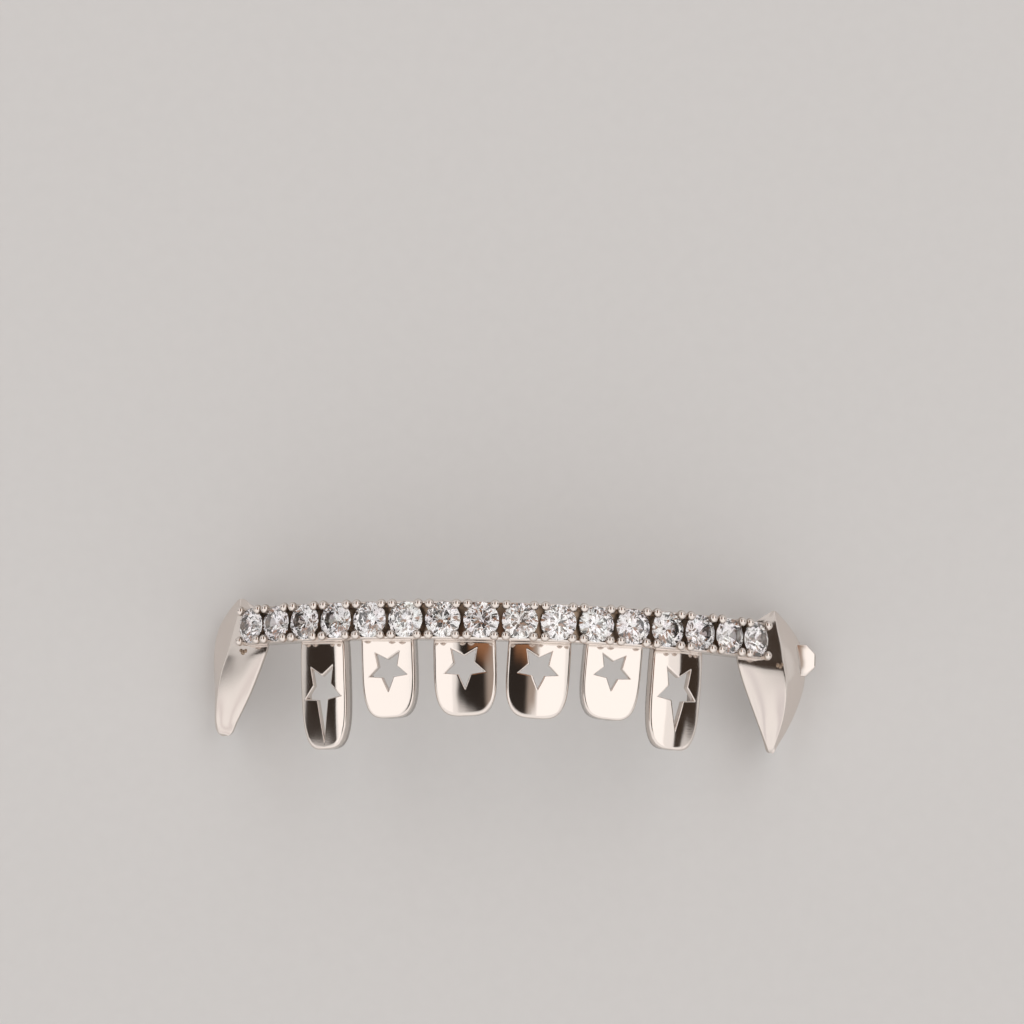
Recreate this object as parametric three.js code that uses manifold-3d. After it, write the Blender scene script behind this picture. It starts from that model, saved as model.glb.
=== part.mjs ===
// A lower grill for the front teeth: a curved bar of sixteen round stones, six thin tooth caps with a star
// cut through each, and a pointed fang at both ends. All metal is soldered into one frame, and every stone is
// a piece of its own. Millimetres. The grill lies on its back: X runs along the bar, Y points to the biting
// edge and Z points up, out of the mouth.
import * as THREE from "three";
import { ConvexGeometry } from "three/addons/geometries/ConvexGeometry.js";
import { mergeVertices } from "three/addons/utils/BufferGeometryUtils.js";
import Module from "manifold-3d";

// The arch that the bar follows, measured through the widest line of the stones
const ARCH_RADIUS = 25.5;
const STONE_COUNT = 16;
const STONE_PITCH = 2.78;

// Round brilliant stones
const STONE_DIAMETER = 2.6;
const TABLE_DIAMETER = 1.44;
const CROWN_HEIGHT = 0.4;
const GIRDLE_HEIGHT = 0.07;
const PAVILION_DEPTH = 1.08;
const STONE_SIDES = 16;
const STONE_CLEARANCE = 0.1;
// Where the facets of a stone break: shares of its crown and of its pavilion
const KITE_OUT_SHARE = 0.48;
const KITE_HEIGHT_SHARE = 0.6;
const PAVILION_BREAK_OUT_SHARE = 0.24;
const PAVILION_BREAK_DEPTH_SHARE = 0.79;

// The rail that the stones sit in
const RAIL_HEIGHT = 2.76;
const RAIL_THICKNESS = 1.25;
const RAIL_SETBACK = 0.25;
const RAIL_CHAMFER = 0.24;
const RAIL_END_MARGIN = 0.1;
const RAIL_STEPS = 24;
const LIGHT_HOLE_DIAMETER = 1.1;
const LIGHT_HOLE_SIDES = 6;

// Bead prongs, in pairs between two stones and single at the ends of the bar
const BEAD_DIAMETER = 0.63;
const BEAD_LIFT = 0.2;
const BEAD_ROW_SPACING = 2.225;
const BEAD_PAIR_SPACING = 0.82;
const END_BEAD_MARGIN = 0.36;
const PRONG_DIAMETER = 0.5;
const PRONG_ROOT = 0.85;
const PRONG_SIDES = 6;
// The bead meets its post, and turns over at its shoulder, at these shares of its radius
const BEAD_NECK_SHARE = 0.6;
const BEAD_SHOULDER_SHARE = 0.7;

// Tooth caps: thin domed shells with the edge turned back
const CAP_WIDTH = 4.6;
const CAP_LENGTH = 9.2;
const CAP_WALL = 0.45;
const CAP_DEPTH = 1.35;
const CAP_EDGE_RADIUS = 0.34;
const CAP_DRAFT = 0.06;
const CAP_SINK = 0.3;
const CAP_TOP = 1.12;
const CAP_CORNER_POWER = 3.5;
const CAP_SEGMENTS = 20;
const CAP_EDGE_STEP_SHARE = 0.3;
const CAP_FACE_STEP_SHARE = 0.5;
const STAR_POINTS = 5;
const STAR_INNER_SHARE = 0.48;
// One row for each cap, from left to right: canine, lateral, central, central, lateral, canine.
// station: its middle along the bar, as a share of half the bar's length.
// turn: the share of the bar's turn that it follows there.
// lean: degrees that its lower end turns to the middle of the mouth.
// bottom and starDrop: how far its end and its star lie below the middle of the bar, as shares of CAP_LENGTH.
// width, starSize, bulge and crown are shares of CAP_WIDTH. Bulge and crown say how far the face stands out
// across its width and along its height. The star has its own stretch and length of the lower point.
const CAPS = [
  { station: -0.665, turn: 0.65, lean: 4, width: 0.835, bottom: 1, bulge: 0.109, crown: 0.054,
    starSize: 0.33, starDrop: 0.522, starStretch: 1.28, starTail: 1.9 },
  { station: -0.402, turn: 0.75, lean: 4, width: 0.874, bottom: 0.761, bulge: 0.054, crown: 0.039,
    starSize: 0.32, starDrop: 0.377, starStretch: 1, starTail: 1.05 },
  { station: -0.128, turn: 0.75, lean: 3, width: 0.996, bottom: 0.739, bulge: 0.087, crown: 0.054,
    starSize: 0.326, starDrop: 0.348, starStretch: 1, starTail: 1.05 },
  { station: 0.138, turn: 0.75, lean: 2, width: 1, bottom: 0.743, bulge: 0.087, crown: 0.054,
    starSize: 0.32, starDrop: 0.345, starStretch: 1, starTail: 1 },
  { station: 0.402, turn: 0.75, lean: 4, width: 0.93, bottom: 0.728, bulge: 0.054, crown: 0.039,
    starSize: 0.304, starDrop: 0.341, starStretch: 1, starTail: 1 },
  { station: 0.654, turn: 0.95, lean: 3, width: 0.891, bottom: 0.929, bulge: 0.109, crown: 0.054,
    starSize: 0.333, starDrop: 0.457, starStretch: 1.25, starTail: 1.46 },
];

// Fangs: open shells that wrap the outer side of a tooth
const FANG_WALL = 0.6;
const FANG_HEIGHT = 10.4;
const FANG_TIP = 7.9;
const FANG_REACH = 5.2;
const FANG_DEPTH = 6.2;
// The front edge of a fang lies this far in from the end of the bar, and is let this far into the rail's back
const FANG_INSET = 2.43;
const FANG_SINK = 0.08;
const FANG_OVERCUT = 0.5;
const FANG_CURVE_POINTS = 9;
// Sections that are narrower than this, from front edge to back edge, stay solid
const FANG_HOLLOW_FROM = 2.4;
// The side of a fang bends at this share of its depth, and its back edge lies in by this share of its reach
const FANG_FLANK_SHARE = 0.45;
const FANG_BACK_INSET = 0.03;
// Each row is a section at a height up from the tip. It says how far out (front edge, ridge and side) and how
// deep (front edge, ridge and back) the shell reaches there. All are shares of the height, reach and depth.
const LEFT_FANG = [
  { height: 0.0, front: 0.61, ridge: 0.7, side: 0.73, frontDepth: 0.47, ridgeDepth: 0.49, backDepth: 0.55 },
  { height: 0.03, front: 0.565, ridge: 0.76, side: 0.79, frontDepth: 0.43, ridgeDepth: 0.48, backDepth: 0.6 },
  { height: 0.08, front: 0.52, ridge: 0.79, side: 0.82, frontDepth: 0.4, ridgeDepth: 0.48, backDepth: 0.68 },
  { height: 0.16, front: 0.43, ridge: 0.81, side: 0.84, frontDepth: 0.33, ridgeDepth: 0.47, backDepth: 0.8 },
  { height: 0.3, front: 0.29, ridge: 0.8, side: 0.86, frontDepth: 0.2, ridgeDepth: 0.45, backDepth: 1 },
  { height: 0.45, front: 0.17, ridge: 0.76, side: 0.88, frontDepth: 0.08, ridgeDepth: 0.43, backDepth: 1 },
  { height: 0.6, front: 0.06, ridge: 0.66, side: 0.9, frontDepth: 0, ridgeDepth: 0.4, backDepth: 1 },
  { height: 0.77, front: 0, ridge: 0.58, side: 0.86, frontDepth: 0, ridgeDepth: 0.38, backDepth: 1 },
  { height: 0.86, front: 0.17, ridge: 0.54, side: 0.76, frontDepth: 0.08, ridgeDepth: 0.36, backDepth: 0.95 },
  { height: 0.94, front: 0.36, ridge: 0.51, side: 0.63, frontDepth: 0.22, ridgeDepth: 0.35, backDepth: 0.72 },
  { height: 0.98, front: 0.45, ridge: 0.5, side: 0.53, frontDepth: 0.32, ridgeDepth: 0.36, backDepth: 0.45 },
];
const RIGHT_FANG = [
  { height: 0.0, front: 0.53, ridge: 0.57, side: 0.59, frontDepth: 0.47, ridgeDepth: 0.49, backDepth: 0.55 },
  { height: 0.05, front: 0.48, ridge: 0.6, side: 0.65, frontDepth: 0.42, ridgeDepth: 0.48, backDepth: 0.62 },
  { height: 0.12, front: 0.42, ridge: 0.64, side: 0.73, frontDepth: 0.35, ridgeDepth: 0.47, backDepth: 0.74 },
  { height: 0.27, front: 0.29, ridge: 0.75, side: 0.87, frontDepth: 0.2, ridgeDepth: 0.45, backDepth: 1 },
  { height: 0.45, front: 0.14, ridge: 0.76, side: 0.98, frontDepth: 0.08, ridgeDepth: 0.43, backDepth: 1 },
  { height: 0.6, front: 0.04, ridge: 0.71, side: 1, frontDepth: 0, ridgeDepth: 0.4, backDepth: 1 },
  { height: 0.78, front: 0, ridge: 0.65, side: 0.92, frontDepth: 0, ridgeDepth: 0.38, backDepth: 1 },
  { height: 0.86, front: 0.17, ridge: 0.61, side: 0.83, frontDepth: 0.08, ridgeDepth: 0.36, backDepth: 1 },
  { height: 0.94, front: 0.38, ridge: 0.58, side: 0.73, frontDepth: 0.22, ridgeDepth: 0.35, backDepth: 0.75 },
  { height: 1.0, front: 0.54, ridge: 0.56, side: 0.58, frontDepth: 0.36, ridgeDepth: 0.38, backDepth: 0.45 },
];

// The flat lug on the outer side of the right fang
const LUG_DIAMETER = 2.6;
const LUG_THICKNESS = 0.8;
const LUG_SINK = 0.3;
const LUG_DROP = 1.0;
const LUG_DEPTH_SHARE = 0.66;
const LUG_SIDES = 8;

const BAR_LENGTH = STONE_COUNT * STONE_PITCH;
const RAIL_BACK = RAIL_SETBACK + RAIL_THICKNESS;
const END_TURN = BAR_LENGTH / 2 / ARCH_RADIUS;
const FANG_START = ARCH_RADIUS * Math.sin(END_TURN) - FANG_INSET;
const FANG_FRONT = ARCH_RADIUS - Math.sqrt((ARCH_RADIUS - RAIL_BACK) ** 2 - FANG_START ** 2) - FANG_SINK;
const FLOOR_DEPTH = FANG_FRONT + FANG_DEPTH;
const MERGE_TOLERANCE = 1e-4;

const metal = new THREE.MeshStandardMaterial({
  name: "polished_metal",
  color: 0xe9e2dd,
  roughness: 0.08,
  metalness: 1,
});
const crystal = new THREE.MeshStandardMaterial({
  name: "clear_stone",
  color: 0xf6f4f6,
  roughness: 0.03,
  metalness: 0,
});

const wasm = await Module();
wasm.setup();

// The place on the arch at a distance along it: its X runs on along the arch, its Z points out of the mouth.
function placeOnArch(station) {
  const turn = station / ARCH_RADIUS;
  const place = new THREE.Object3D();
  place.rotation.y = turn;
  place.position.set(ARCH_RADIUS * Math.sin(turn), 0, ARCH_RADIUS * (Math.cos(turn) - 1));
  place.updateMatrix();
  return place;
}

function solidOf(geometry, matrix = new THREE.Matrix4()) {
  const bare = geometry.clone().applyMatrix4(matrix);
  bare.deleteAttribute("normal");
  bare.deleteAttribute("uv");
  const merged = mergeVertices(bare, MERGE_TOLERANCE);
  const vertProperties = new Float32Array(merged.attributes.position.array);
  const triVerts = new Uint32Array(merged.index.array);
  return new wasm.Manifold(new wasm.Mesh({ numProp: 3, vertProperties, triVerts }));
}

function geometryOf(solid) {
  const mesh = solid.getMesh();
  const geometry = new THREE.BufferGeometry();
  geometry.setAttribute("position", new THREE.BufferAttribute(new Float32Array(mesh.vertProperties), 3));
  geometry.setIndex(new THREE.BufferAttribute(new Uint32Array(mesh.triVerts), 1));
  geometry.computeVertexNormals();
  return geometry;
}

// A closed skin over rings with the same number of points. A ring of one point closes an end.
function skin(rings) {
  const position = [];
  const index = [];
  const first = [];
  for (const ring of rings) {
    first.push(position.length / 3);
    for (const point of ring) {
      position.push(point.x, point.y, point.z);
    }
  }
  for (let r = 0; r + 1 < rings.length; r++) {
    const count = Math.max(rings[r].length, rings[r + 1].length);
    for (let i = 0; i < count; i++) {
      const next = (i + 1) % count;
      const low = (k) => first[r] + (k % rings[r].length);
      const high = (k) => first[r + 1] + (k % rings[r + 1].length);
      if (rings[r].length > 1) index.push(low(i), low(next), high(i));
      if (rings[r + 1].length > 1) index.push(low(next), high(next), high(i));
    }
  }
  const geometry = new THREE.BufferGeometry();
  geometry.setAttribute("position", new THREE.Float32BufferAttribute(position, 3));
  geometry.setIndex(index);
  return geometry;
}

// A skin over sections that is closed at both ends.
function closedLoft(rings) {
  const middleOf = (ring) => {
    const middle = new THREE.Vector3();
    for (const point of ring) middle.add(point);
    return [middle.divideScalar(ring.length)];
  };
  return skin([middleOf(rings[0]), ...rings, middleOf(rings[rings.length - 1])]);
}

// A round brilliant: table, crown, girdle and pavilion are the hull of its corners.
function brilliant() {
  const corners = [];
  const ring = (count, radius, height, offset) => {
    for (let i = 0; i < count; i++) {
      const angle = ((i + offset) * 2 * Math.PI) / count;
      corners.push(new THREE.Vector3(radius * Math.cos(angle), radius * Math.sin(angle), height));
    }
  };
  const girdle = STONE_DIAMETER / 2;
  const table = TABLE_DIAMETER / 2;
  const mains = STONE_SIDES / 2;
  const half = GIRDLE_HEIGHT / 2;
  const kite = table + (girdle - table) * KITE_OUT_SHARE;
  ring(mains, table, half + CROWN_HEIGHT, 0);
  ring(mains, kite, half + CROWN_HEIGHT * KITE_HEIGHT_SHARE, 0.5);
  ring(STONE_SIDES, girdle, half, 0);
  ring(STONE_SIDES, girdle, -half, 0);
  ring(mains, girdle * PAVILION_BREAK_OUT_SHARE, -half - PAVILION_DEPTH * PAVILION_BREAK_DEPTH_SHARE, 0.5);
  corners.push(new THREE.Vector3(0, 0, -half - PAVILION_DEPTH));
  return new ConvexGeometry(corners);
}

// The double cone that a stone and its clearance take out of the rail and the prongs.
function seatCutter() {
  const half = GIRDLE_HEIGHT / 2 + STONE_CLEARANCE;
  const profile = [
    [0, -half - PAVILION_DEPTH],
    [STONE_DIAMETER / 2 + STONE_CLEARANCE, 0],
    [TABLE_DIAMETER / 2 + STONE_CLEARANCE, half + CROWN_HEIGHT],
    [0, half + CROWN_HEIGHT],
  ];
  return turned(profile, STONE_SIDES);
}

// A profile of radius and height, turned about Z.
function turned(profile, sides) {
  const points = profile.map(([radius, height]) => new THREE.Vector2(radius, height));
  return new THREE.LatheGeometry(points, sides).rotateX(Math.PI / 2).rotateZ(Math.PI / 2);
}

function prong() {
  const post = PRONG_DIAMETER / 2;
  const bead = BEAD_DIAMETER / 2;
  return turned(
    [
      [0, -PRONG_ROOT],
      [post, -PRONG_ROOT],
      [post, BEAD_LIFT - bead * BEAD_NECK_SHARE],
      [bead, BEAD_LIFT],
      [bead * BEAD_SHOULDER_SHARE, BEAD_LIFT + bead * BEAD_SHOULDER_SHARE],
      [0, BEAD_LIFT + bead],
    ],
    PRONG_SIDES,
  );
}

function rail() {
  const half = RAIL_HEIGHT / 2;
  const front = -RAIL_SETBACK;
  const back = -RAIL_BACK;
  const section = [
    [half, back],
    [half, front - RAIL_CHAMFER],
    [half - RAIL_CHAMFER, front],
    [-half + RAIL_CHAMFER, front],
    [-half, front - RAIL_CHAMFER],
    [-half, back],
  ];
  const end = BAR_LENGTH / 2 - RAIL_END_MARGIN;
  const rings = [];
  for (let i = 0; i <= RAIL_STEPS; i++) {
    const place = placeOnArch(-end + (2 * end * i) / RAIL_STEPS);
    rings.push(section.map(([rise, out]) => new THREE.Vector3(0, rise, out).applyMatrix4(place.matrix)));
  }
  return closedLoft(rings);
}

// The hole under each stone, open to the back, that lets light in.
function lightHole() {
  const length = RAIL_THICKNESS * 2;
  const radius = LIGHT_HOLE_DIAMETER / 2;
  const hole = new THREE.CylinderGeometry(radius, radius, length, LIGHT_HOLE_SIDES);
  return hole.rotateX(Math.PI / 2).translate(0, 0, -RAIL_BACK);
}

// A shell whose face domes forward and whose edge turns back. Its origin is the middle of its face.
function capShell(cap) {
  const a = (cap.width * CAP_WIDTH) / 2;
  const b = (CAP_TOP + cap.bottom * CAP_LENGTH) / 2;
  const edge = CAP_EDGE_RADIUS;
  const dome = (x, y) => -CAP_WIDTH * (cap.bulge * (x / a) ** 2 + cap.crown * (y / b) ** 2);
  const ring = (inset, depthAt) => {
    const points = [];
    for (let i = 0; i < CAP_SEGMENTS; i++) {
      const angle = ((i + 0.5) * 2 * Math.PI) / CAP_SEGMENTS;
      const power = 2 / CAP_CORNER_POWER;
      const x = (a - inset) * Math.sign(Math.cos(angle)) * Math.abs(Math.cos(angle)) ** power;
      const y = (b - inset) * Math.sign(Math.sin(angle)) * Math.abs(Math.sin(angle)) ** power;
      points.push(new THREE.Vector3(x, y, depthAt(x, y)));
    }
    return points;
  };
  const face = (inset) => ring(inset, (x, y) => {
    const past = Math.max(0, edge - inset);
    return dome(x, y) - edge + Math.sqrt(edge * edge - past * past);
  });
  const inside = (inset) => ring(inset, (x, y) => dome(x, y) - CAP_WALL);
  return skin([
    [new THREE.Vector3(0, 0, -CAP_WALL)],
    inside(CAP_WALL),
    ring(CAP_DRAFT + CAP_WALL, () => -CAP_DEPTH),
    ring(CAP_DRAFT, () => -CAP_DEPTH),
    face(0),
    face(edge * CAP_EDGE_STEP_SHARE),
    face(edge),
    face(a * CAP_FACE_STEP_SHARE),
    [new THREE.Vector3(0, 0, 0)],
  ]);
}

// A five-point star with one point down, cut straight through the face of a cap.
function starCutter(cap) {
  const shape = new THREE.Shape();
  for (let i = 0; i < STAR_POINTS * 2; i++) {
    const radius = cap.starSize * CAP_WIDTH * (i % 2 ? STAR_INNER_SHARE : 1);
    const angle = -Math.PI / 2 + (i * Math.PI) / STAR_POINTS;
    const tail = i === 0 ? cap.starTail : 1;
    const x = radius * Math.cos(angle);
    const y = radius * Math.sin(angle) * cap.starStretch * tail;
    if (i === 0) shape.moveTo(x, y);
    else shape.lineTo(x, y);
  }
  shape.closePath();
  const depth = CAP_DEPTH * 2;
  const block = new THREE.ExtrudeGeometry(shape, { depth, bevelEnabled: false });
  return block.translate(0, 0, -depth / 2);
}

function toothCap(cap) {
  const place = placeOnArch((cap.station * BAR_LENGTH) / 2);
  place.translateZ(-RAIL_BACK + CAP_SINK);
  place.rotation.y *= cap.turn;
  place.rotateZ(THREE.MathUtils.degToRad(cap.lean) * Math.sign(cap.station) * -1);
  place.updateMatrix();
  const middle = (CAP_TOP - cap.bottom * CAP_LENGTH) / 2;
  const shell = solidOf(capShell(cap).translate(0, middle, 0));
  const star = solidOf(starCutter(cap).translate(0, -cap.starDrop * CAP_LENGTH, 0));
  const cut = geometryOf(shell.subtract(star));
  return solidOf(cut, place.matrix);
}

// side is -1 for the left fang and 1 for the right one. The shell is a solid of closed sections, with any
// trim soldered on, less a cavity that opens to the tooth. Near its ends, where it is narrow, it is solid.
function fang(sections, side, trim = []) {
  const outside = [];
  const cavity = [];
  const turnRound = (ring) => (side > 0 ? ring : ring.reverse());
  for (const row of sections) {
    const y = -FANG_TIP + row.height * FANG_HEIGHT;
    const at = (out, depth) =>
      new THREE.Vector3(side * (FANG_START + out * FANG_REACH), y, -FANG_FRONT - depth * FANG_DEPTH);
    const overcut = row.backDepth === 1 ? FANG_OVERCUT / FANG_DEPTH : 0;
    const front = at(row.front, row.frontDepth);
    const ridge = at(row.ridge, row.ridgeDepth);
    const flankDepth = THREE.MathUtils.lerp(row.ridgeDepth, row.backDepth, FANG_FLANK_SHARE);
    const flank = at(row.side, flankDepth);
    const back = at(row.side - FANG_BACK_INSET, row.backDepth + overcut);
    const curve = new THREE.CatmullRomCurve3([front, ridge, flank, back]);
    const outer = curve.getPoints(FANG_CURVE_POINTS - 1);
    outside.push(turnRound([...outer]));
    if (front.distanceTo(back) < FANG_HOLLOW_FROM) continue;
    const up = new THREE.Vector3(0, side, 0);
    const inner = outer.map((point, i) => {
      const along = curve.getTangent(i / (FANG_CURVE_POINTS - 1));
      return point.clone().addScaledVector(up.clone().cross(along).normalize(), FANG_WALL);
    });
    const away = front.clone().lerp(back, 0.5).sub(ridge).setLength(FANG_DEPTH);
    const beyond = [inner[inner.length - 1], inner[0]].map((point) => point.clone().add(away));
    cavity.push(turnRound([...inner, ...beyond]));
  }
  let body = solidOf(closedLoft(outside));
  for (const piece of trim) body = body.add(solidOf(piece));
  return body.subtract(solidOf(closedLoft(cavity)));
}

function lug() {
  const plate = new THREE.CylinderGeometry(LUG_DIAMETER / 2, LUG_DIAMETER / 2, LUG_THICKNESS, LUG_SIDES);
  plate.rotateY(Math.PI / LUG_SIDES).rotateX(Math.PI / 2);
  const out = FANG_START + FANG_REACH - LUG_SINK;
  return plate.translate(out, -LUG_DROP, -FANG_FRONT - FANG_DEPTH * LUG_DEPTH_SHARE);
}

// Everything below the surface that the grill lies on: the fangs end there in a flat foot.
function belowFloor() {
  const size = BAR_LENGTH * 2;
  return new THREE.BoxGeometry(size, size, size).translate(0, 0, -FLOOR_DEPTH - size / 2);
}

function prongPlaces() {
  const places = [];
  for (let i = 0; i <= STONE_COUNT; i++) {
    const border = -BAR_LENGTH / 2 + i * STONE_PITCH;
    const offsets = [-BEAD_PAIR_SPACING / 2, BEAD_PAIR_SPACING / 2];
    if (i === 0) offsets.splice(0, 2, END_BEAD_MARGIN);
    if (i === STONE_COUNT) offsets.splice(0, 2, -END_BEAD_MARGIN);
    for (const offset of offsets) {
      for (const row of [-1, 1]) {
        const place = placeOnArch(border + offset);
        place.translateY((row * BEAD_ROW_SPACING) / 2);
        place.updateMatrix();
        places.push(place.matrix);
      }
    }
  }
  return places;
}

function stoneStations() {
  const stations = [];
  for (let i = 0; i < STONE_COUNT; i++) {
    stations.push((i + 0.5) * STONE_PITCH - BAR_LENGTH / 2);
  }
  return stations;
}

function metalFrame() {
  let bar = solidOf(rail());
  for (const matrix of prongPlaces()) {
    bar = bar.add(solidOf(prong(), matrix));
  }
  for (const cap of CAPS) {
    bar = bar.add(toothCap(cap));
  }
  bar = bar.add(fang(LEFT_FANG, -1));
  bar = bar.add(fang(RIGHT_FANG, 1, [lug()]));
  for (const station of stoneStations()) {
    const matrix = placeOnArch(station).matrix;
    bar = bar.subtract(solidOf(seatCutter(), matrix)).subtract(solidOf(lightHole(), matrix));
  }
  return bar.subtract(solidOf(belowFloor()));
}

const grill = new THREE.Group();

const frame = new THREE.Mesh(geometryOf(metalFrame()), metal);
frame.name = "metal_frame";
grill.add(frame);

stoneStations().forEach((station, i) => {
  const stone = new THREE.Mesh(brilliant(), crystal);
  stone.name = `stone_${String(i + 1).padStart(2, "0")}`;
  stone.applyMatrix4(placeOnArch(station).matrix);
  grill.add(stone);
});

// The origin is the middle of the part's box, on the surface it lies on.
const box = new THREE.Box3().setFromObject(grill, true);
grill.position.set(-(box.min.x + box.max.x) / 2, -(box.min.y + box.max.y) / 2, -box.min.z);

export default grill;
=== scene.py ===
# %% [markdown]
# # A lower grill with star caps and fangs
# The real piece is a row of round stones in a curved bar. Six thin metal caps for the front teeth hang
# from the bar, each with a star cut through it, and a fang stands at both ends. The measured model fixes
# every place and size. This notebook dresses it: smooth polished metal over the faceted solids, and
# finely cut stones in the seats.

# %% Load the measured frame
from math import cos, pi, radians, sin, tan

import bmesh
import bpy
from mathutils import Matrix, Vector


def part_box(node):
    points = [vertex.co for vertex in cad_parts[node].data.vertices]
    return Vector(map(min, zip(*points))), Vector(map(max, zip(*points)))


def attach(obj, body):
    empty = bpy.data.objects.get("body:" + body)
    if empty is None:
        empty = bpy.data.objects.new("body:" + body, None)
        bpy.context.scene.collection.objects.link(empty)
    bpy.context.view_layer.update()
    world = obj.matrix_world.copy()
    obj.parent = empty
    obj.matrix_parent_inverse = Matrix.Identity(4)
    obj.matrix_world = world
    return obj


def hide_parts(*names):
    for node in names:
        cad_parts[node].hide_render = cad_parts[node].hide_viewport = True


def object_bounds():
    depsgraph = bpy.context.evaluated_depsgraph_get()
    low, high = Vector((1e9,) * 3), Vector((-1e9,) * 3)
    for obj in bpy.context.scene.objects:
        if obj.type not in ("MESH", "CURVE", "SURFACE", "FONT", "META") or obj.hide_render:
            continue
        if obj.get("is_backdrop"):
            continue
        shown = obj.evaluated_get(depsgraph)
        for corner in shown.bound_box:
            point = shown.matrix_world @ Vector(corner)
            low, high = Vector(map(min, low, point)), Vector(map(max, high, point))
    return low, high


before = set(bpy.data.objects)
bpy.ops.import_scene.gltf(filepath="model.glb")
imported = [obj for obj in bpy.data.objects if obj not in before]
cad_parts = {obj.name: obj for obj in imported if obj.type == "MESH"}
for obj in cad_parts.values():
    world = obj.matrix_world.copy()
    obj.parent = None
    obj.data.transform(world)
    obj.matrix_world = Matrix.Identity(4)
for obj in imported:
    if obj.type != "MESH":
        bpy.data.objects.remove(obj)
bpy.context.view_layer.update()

# %% [markdown]
# ## One arch for everything
# The stones sit side by side on an arc, so one function can place a stone, a bead or a cap by its
# distance along the arc. Working in millimetres around the arc's own middle keeps the numbers readable.
# One matrix then takes a finished shape to metres in the frame. The two middle stones of the frame show
# where the arc's middle is.

# %% Sizes that the frame was made from, in millimetres
ARCH_RADIUS = 25.5
STONE_COUNT = 16
STONE_PITCH = 2.78
STONE_RADIUS = 1.3
TABLE_RADIUS = 0.72
CROWN_HEIGHT = 0.4
HALF_GIRDLE = 0.035
PAVILION_DEPTH = 1.08
BAR_LENGTH = STONE_COUNT * STONE_PITCH
METRES = 0.001


def arch_place(station):
    """The place at a distance along the arc: its X runs along the arc and its Z points outwards."""
    turn = station / ARCH_RADIUS
    middle = Vector((ARCH_RADIUS * sin(turn), 0, ARCH_RADIUS * (cos(turn) - 1)))
    return Matrix.Translation(middle) @ Matrix.Rotation(turn, 4, "Y")


# %% Find the arc's middle from the two middle stones
left_low, left_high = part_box("stone_08")
right_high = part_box("stone_09")[1]
table_corner = Vector((-TABLE_RADIUS, 0, HALF_GIRDLE + CROWN_HEIGHT))
table_top = (arch_place(STONE_PITCH / 2) @ table_corner).z
arch_middle = (left_low + right_high) / 2
arch_middle.z = left_high.z - table_top * METRES
TO_FRAME = Matrix.Translation(arch_middle) @ Matrix.Scale(METRES, 4)
print("arc's middle in mm:", [round(x * 1000, 3) for x in arch_middle])

# %% [markdown]
# ## Polished metal
# The real metal is plated and mirror-bright, with a slightly warm tone. A perfect mirror looks like a
# drawing, so three small things break it: hand polishing leaves the surface faintly wavy, the buffing
# wheel leaves hairlines, and the hollows, the sides of the beads and the backs are painted darker, as
# painted shade and painted dark reflection with some tarnish. One node group makes the first two, so that
# each metal can set its own amounts. A painted picture of scratches would also do, but it would need a
# file and an unwrapped mesh.

# %% The node group for a hand-polished surface


def add_node(tree, kind, **settings):
    """Adds a node and sets its properties and, by number or name, its inputs."""
    node = tree.nodes.new(kind)
    for key, value in settings.items():
        if key.startswith("in_"):
            name = key[3:].replace("_", " ")
            node.inputs[int(name) if name.isdigit() else name].default_value = value
        else:
            setattr(node, key, value)
    return node


# Texture scales are counts to the metre, and depths are in metres.
SMEAR_SCALE = 260
WAVE_SCALE = 330
WAVE_DEPTH = 0.00005
HAIRLINE_SCALE = 900
HAIRLINE_STRETCH = (1, 14, 6)
HAIRLINE_TURN = (0.3, 0.2, 0.9)
HAIRLINE_DEPTH = 0.000004
POLISH_INPUTS = {"Roughness": 0.05, "Roughness Change": 0.03, "Waves": 0.2, "Hairlines": 0.05}


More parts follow.
